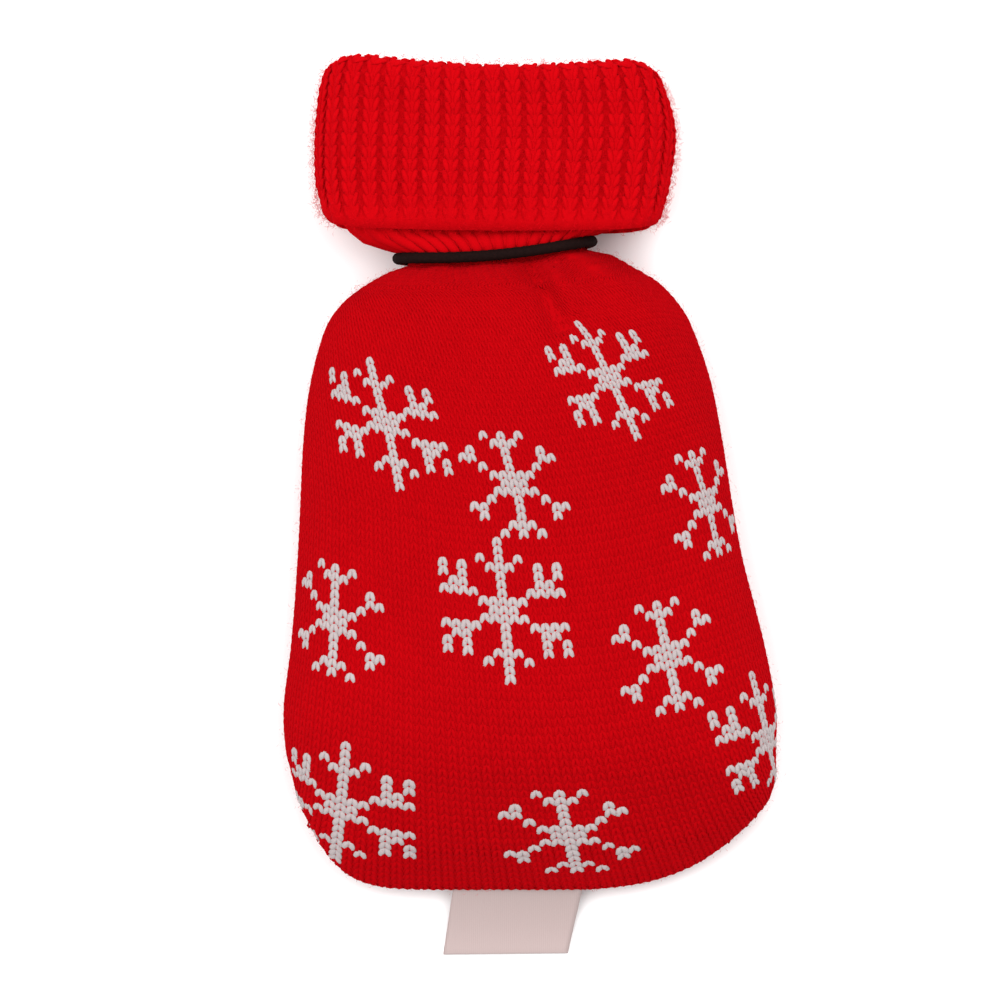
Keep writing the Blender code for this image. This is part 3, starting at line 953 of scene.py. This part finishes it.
def cord_mesh():
    """Returns the closed loop of braided cord."""
    route = inset(NECK, -CORD_RADIUS - CORD_CLEARANCE)
    path, _ = row_points(route, np.arange(CORD_STEPS) / CORD_STEPS, BAG_POWERS)
    ahead = np.roll(path, -1, 0) - np.roll(path, 1, 0)
    ahead = ahead / np.linalg.norm(ahead, axis=1, keepdims=True)
    side = np.cross(ahead, (0.0, 1.0, 0.0))
    side = side / np.linalg.norm(side, axis=1, keepdims=True)
    lift = np.cross(side, ahead)
    length = np.linalg.norm(np.diff(path, axis=0, append=path[:1]), axis=1)
    gone = np.concatenate([[0.0], np.cumsum(length)[:-1]]) / length.sum()
    turns = round(float(length.sum()) / BRAID_LENGTH)
    mesh = bmesh.new()
    rings = []
    for i in range(CORD_STEPS):
        ring = []
        for k in range(CORD_SIDES):
            angle = math.tau * k / CORD_SIDES
            wound = 2 * math.tau * turns * gone[i]
            one, other = (math.cos(STRANDS * angle + way * wound) for way in (1, -1))
            radius = CORD_RADIUS * (0.97 + 0.035 * max(one, other))
            point = path[i] + radius * (side[i] * math.cos(angle) + lift[i] * math.sin(angle))
            ring.append(mesh.verts.new(point * MM))
        rings.append(ring)
    for i in range(CORD_STEPS):
        following = rings[(i + 1) % CORD_STEPS]
        for k in range(CORD_SIDES):
            n = (k + 1) % CORD_SIDES
            mesh.faces.new((rings[i][k], rings[i][n], following[n], following[k]))
    bmesh.ops.recalc_face_normals(mesh, faces=mesh.faces)
    return show(object_from(mesh, "elastic_cord"))


def cord_material():
    """Returns the dull black of the braided elastic."""
    material, tree, surface = new_material("black_braid", 0.85)
    surface.inputs["Specular IOR Level"].default_value = 0.06
    kinds = ("ShaderNodeTexCoord", "ShaderNodeTexNoise", "ShaderNodeValToRGB")
    where, noise, ramp = (tree.nodes.new(kind) for kind in kinds)
    noise.inputs["Scale"].default_value = 2200.0
    link(tree, where.outputs["Object"], noise.inputs["Vector"])
    link(tree, noise.outputs["Fac"], ramp.inputs["Fac"])
    ramp.color_ramp.elements[0].color = (0.0030, 0.0012, 0.0010, 1.0)
    ramp.color_ramp.elements[1].color = (0.0120, 0.0040, 0.0035, 1.0)
    link(tree, ramp.outputs["Color"], surface.inputs["Base Color"])
    return material


elastic_cord = cord_mesh()
elastic_cord.data.materials.append(cord_material())
print("cord:", len(elastic_cord.data.polygons), "faces")

# %% [markdown]
# ## The label
# A short satin ribbon is folded double and caught in the bottom seam. It is one strip: down the front, round
# the fold at its free end, and back up behind.

# %% The ribbon label
LABEL_ROWS = 16
LABEL_COLUMNS = 25
LABEL_GAP = 0.52


def label_grid():
    """Returns the strip of the label, from the seam down the front, round the fold and back up."""
    at = np.linspace(0.0, 1.0, LABEL_ROWS)
    front = [(-13.7 - 1.8 * t, 9.6 - 2.7 * t, -68.2 - 12.2 * t, 0.75 + 3.9 * (1 - t) ** 2) for t in at]
    turns = np.radians((45, 90, 135))
    fold = [(-15.5, 6.9, -80.4 - 0.28 * math.sin(a), 0.49 + LABEL_GAP / 2 * math.cos(a)) for a in turns]
    back = [(left, right, y, z - LABEL_GAP) for left, right, y, z in reversed(front)]
    across = np.linspace(0.0, 1.0, LABEL_COLUMNS)
    rows = []
    for left, right, y, z in front + fold + back:
        bow = 0.12 * np.sin(math.pi * across) * (z - 0.5 if z > 0.6 else 0.0) / 4
        x = left + (right - left) * across
        rows.append(np.stack([x, y + 0.25 * (across - 0.5), z + bow], 1))
    return np.array(rows)


def ribbon_material():
    """Returns satin: fine warp threads across a pale, slightly warm white."""
    material, tree, surface = new_material("satin_ribbon", 0.5)
    surface.inputs["Sheen Weight"].default_value = 0.1
    kinds = ("ShaderNodeTexCoord", "ShaderNodeTexWave", "ShaderNodeValToRGB", "ShaderNodeBump")
    where, threads, ramp, relief = (tree.nodes.new(kind) for kind in kinds)
    threads.bands_direction = "X"
    threads.inputs["Scale"].default_value = 900.0
    threads.inputs["Distortion"].default_value = 1.5
    threads.inputs["Detail Scale"].default_value = 3.0
    link(tree, where.outputs["Object"], threads.inputs["Vector"])
    link(tree, threads.outputs["Fac"], ramp.inputs["Fac"])
    ramp.color_ramp.elements[0].color = (0.375, 0.290, 0.280, 1.0)
    ramp.color_ramp.elements[1].color = (0.400, 0.311, 0.300, 1.0)
    link(tree, ramp.outputs["Color"], surface.inputs["Base Color"])
    relief.inputs["Strength"].default_value = 0.25
    relief.inputs["Distance"].default_value = 0.00005
    link(tree, threads.outputs["Fac"], relief.inputs["Height"])
    link(tree, relief.outputs["Normal"], surface.inputs["Normal"])
    return material


ribbon_label = sheet_from_grid("ribbon_label", label_grid()[:, ::-1], False, ribbon_material(), 0.16)
print("label:", len(ribbon_label.data.polygons), "faces")

# %% [markdown]
# ## What each piece moves with
# The cover is one soft thing, so every piece rides on its one body.

# %% Ride and replace
fuzz = [collar_fuzz, bag_fuzz]
cloths = [bag_cloth, collar_cloth, elastic_cord, ribbon_label]
for piece in [*bag_stitches, bottom_seam, rib_stitches, *fuzz, *cloths]:
    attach(piece, "root")
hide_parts("bag")
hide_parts("collar")
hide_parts("neck_cord")
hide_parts("label")

# %% [markdown]
# ## Floor, light and camera
# The cover lies on a pale table and is seen from straight above, through a long lens. Two broad soft lights
# and a bright surround leave only faint shadows.

# %% Floor and light
def floor_piece():
    """Returns the pale surface that the cover lies on."""
    mesh = bmesh.new()
    bmesh.ops.create_grid(mesh, x_segments=8, y_segments=8, size=1.5)
    floor = object_from(mesh, "pale_floor", smooth=False)
    material, _, surface = new_material("pale_floor", 0.9)
    surface.inputs["Base Color"].default_value = (0.93, 0.93, 0.93, 1.0)
    floor.data.materials.append(material)
    return show(floor)


floor_piece()


def soft_light(name, place, size, power):
    """Adds a square soft light that looks at the cover."""
    light = bpy.data.lights.new(name, "AREA")
    light.size = size
    light.energy = power
    lamp = show(bpy.data.objects.new(name, light))
    lamp.location = place
    lamp.rotation_euler = (-Vector(place)).to_track_quat("-Z", "Y").to_euler()
    return lamp


soft_light("key_light", (0.40, 0.50, 0.95), 0.9, 9.0)
soft_light("fill_light", (-0.60, 0.15, 0.95), 0.9, 8.0)
world = bpy.data.worlds.new("bright_surround")
bpy.context.scene.world = world
world.use_nodes = True
world.node_tree.nodes["Background"].inputs["Color"].default_value = (1.0, 1.0, 1.0, 1.0)
world.node_tree.nodes["Background"].inputs["Strength"].default_value = 0.90
bpy.context.scene.view_settings.view_transform = "Standard"

# %% Camera
PHOTO_WIDTH = 0.178
LENS = 200.0
SENSOR = 36.0
lens = bpy.data.cameras.new("camera")
lens.lens = LENS
lens.sensor_width = SENSOR
camera = show(bpy.data.objects.new("camera", lens))
camera.location = (-0.00534, 0.00089, 0.010 + PHOTO_WIDTH * LENS / SENSOR)
camera.rotation_euler = (0.0, 0.0, 0.0)
bpy.context.scene.camera = camera
print("camera height:", round(camera.location.z, 3), "m")
